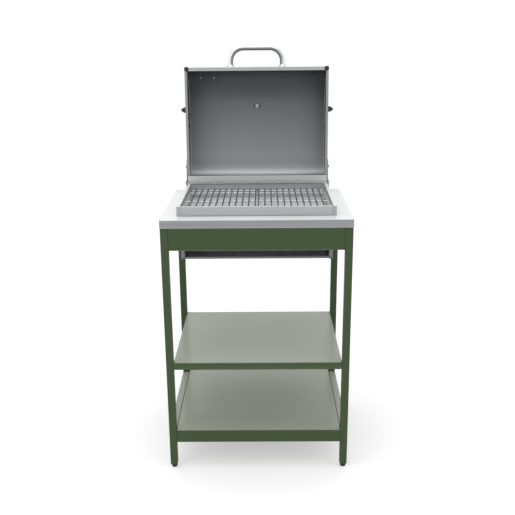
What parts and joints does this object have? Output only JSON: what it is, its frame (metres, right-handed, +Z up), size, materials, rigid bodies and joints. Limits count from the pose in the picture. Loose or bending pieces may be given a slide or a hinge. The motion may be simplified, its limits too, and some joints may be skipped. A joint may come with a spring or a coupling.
{
  "type": "charcoal grill with table",
  "caption": "Rectangular stainless charcoal grill with a hinged barrel lid, let into the worktop of a painted square-tube table with two open shelves.",
  "frame": {"origin": "on the floor, under the middle of the whole object's box with the lid open", "axes": "+Z up, +X to the right as a person at the front sees it, -Y towards that person"},
  "size_m": [0.624, 0.6776, 1.4216],
  "materials": {
    "green_paint": "satin olive-green powder coat",
    "shelf_paint": "the same green powder coat with a pale sheen",
    "worktop_steel": "pale brushed stainless",
    "firebox_steel": "satin stainless",
    "tray_steel": "satin stainless",
    "grate_steel": "bright round bars",
    "lid_steel": "satin stainless",
    "hinge_steel": "satin stainless",
    "polished_steel": "polished stainless",
    "black_plastic": "matt black",
    "black_bolt": "blackened steel",
    "dial_white": "white dial face",
    "needle_red": "red pointer",
    "gauge_glass": "clear"
  },
  "bodies": {
    "frame": {"leg_front_left": "green_paint", "leg_front_right": "green_paint", "leg_rear_left": "green_paint", "leg_rear_right": "green_paint", "foot_front_left": "black_plastic", "foot_front_right": "black_plastic", "foot_rear_left": "black_plastic", "foot_rear_right": "black_plastic", "apron_front": "green_paint", "apron_rear": "green_paint", "apron_left": "green_paint", "apron_right": "green_paint", "lower_rail_front": "green_paint", "lower_rail_rear": "green_paint", "lower_rail_left": "green_paint", "lower_rail_right": "green_paint", "mid_shelf": "shelf_paint", "lower_shelf": "shelf_paint", "worktop": "worktop_steel", "firebox": "firebox_steel", "front_fascia": "firebox_steel", "rear_rim": "firebox_steel", "side_rim_left": "firebox_steel", "side_rim_right": "firebox_steel", "grate_ledge_front": "firebox_steel", "grate_ledge_rear": "firebox_steel", "hinge_ear_left": "hinge_steel", "hinge_ear_right": "hinge_steel", "hinge_pin_left": "polished_steel", "hinge_pin_right": "polished_steel"},
    "lid": {"lid_shell": "lid_steel", "lid_end_left": "lid_steel", "lid_end_right": "lid_steel", "hinge_strap_left": "hinge_steel", "hinge_strap_right": "hinge_steel", "strap_bolt_left": "black_bolt", "strap_bolt_right": "black_bolt", "lid_handle": "polished_steel", "handle_ferrule_left": "polished_steel", "handle_ferrule_right": "polished_steel", "bumper_left": "black_plastic", "bumper_right": "black_plastic", "damper_pivot_left": "black_bolt", "damper_pivot_right": "black_bolt", "gauge_case": "polished_steel", "gauge_dial": "dial_white", "gauge_glass": "gauge_glass", "gauge_wing_nut": "polished_steel", "badge_plate": "polished_steel", "badge_rivet_left": "polished_steel", "badge_rivet_right": "polished_steel"},
    "left_damper": {"damper_left": "lid_steel", "damper_knob_left": "black_plastic"},
    "right_damper": {"damper_right": "lid_steel", "damper_knob_right": "black_plastic"},
    "gauge_pointer": {"gauge_needle": "needle_red"},
    "left_grate": {"cooking_grate_left": "grate_steel"},
    "right_grate": {"cooking_grate_right": "grate_steel"},
    "coal_tray": {"charcoal_tray": "tray_steel"},
    "ash_drawer": {"ash_tray": "tray_steel"}
  },
  "joints": [
    {"name": "lid_hinge", "type": "hinge", "parent": "frame", "child": "lid", "pos_m": [0, 0.13931, 0.9319], "axis": [-1, 0, 0], "range_deg": [-93.4, 0]},
    {"name": "left_damper_turn", "type": "hinge", "parent": "lid", "child": "left_damper", "pos_m": [-0.263, 0.24478, 1.12899], "axis": [-1, 0, 0], "range_deg": [0, 45]},
    {"name": "right_damper_turn", "type": "hinge", "parent": "lid", "child": "right_damper", "pos_m": [0.263, 0.24478, 1.12899], "axis": [-1, 0, 0], "range_deg": [0, 45]},
    {"name": "gauge_pointer_turn", "type": "hinge", "parent": "lid", "child": "gauge_pointer", "pos_m": [0, 0.33091, 1.196], "axis": [0, -0.9982, 0.0593], "range_deg": [0, 270]},
    {"name": "left_grate_lift", "type": "slide", "parent": "frame", "child": "left_grate", "axis": [0, 0, 1], "range_m": [0, 0.08]},
    {"name": "right_grate_lift", "type": "slide", "parent": "frame", "child": "right_grate", "axis": [0, 0, 1], "range_m": [0, 0.08]},
    {"name": "coal_tray_lift", "type": "slide", "parent": "frame", "child": "coal_tray", "axis": [0, 0, 1], "range_m": [0, 0.018]},
    {"name": "ash_drawer_slide", "type": "slide", "parent": "frame", "child": "ash_drawer", "axis": [0, -1, 0], "range_m": [0, 0.33]}
  ]
}
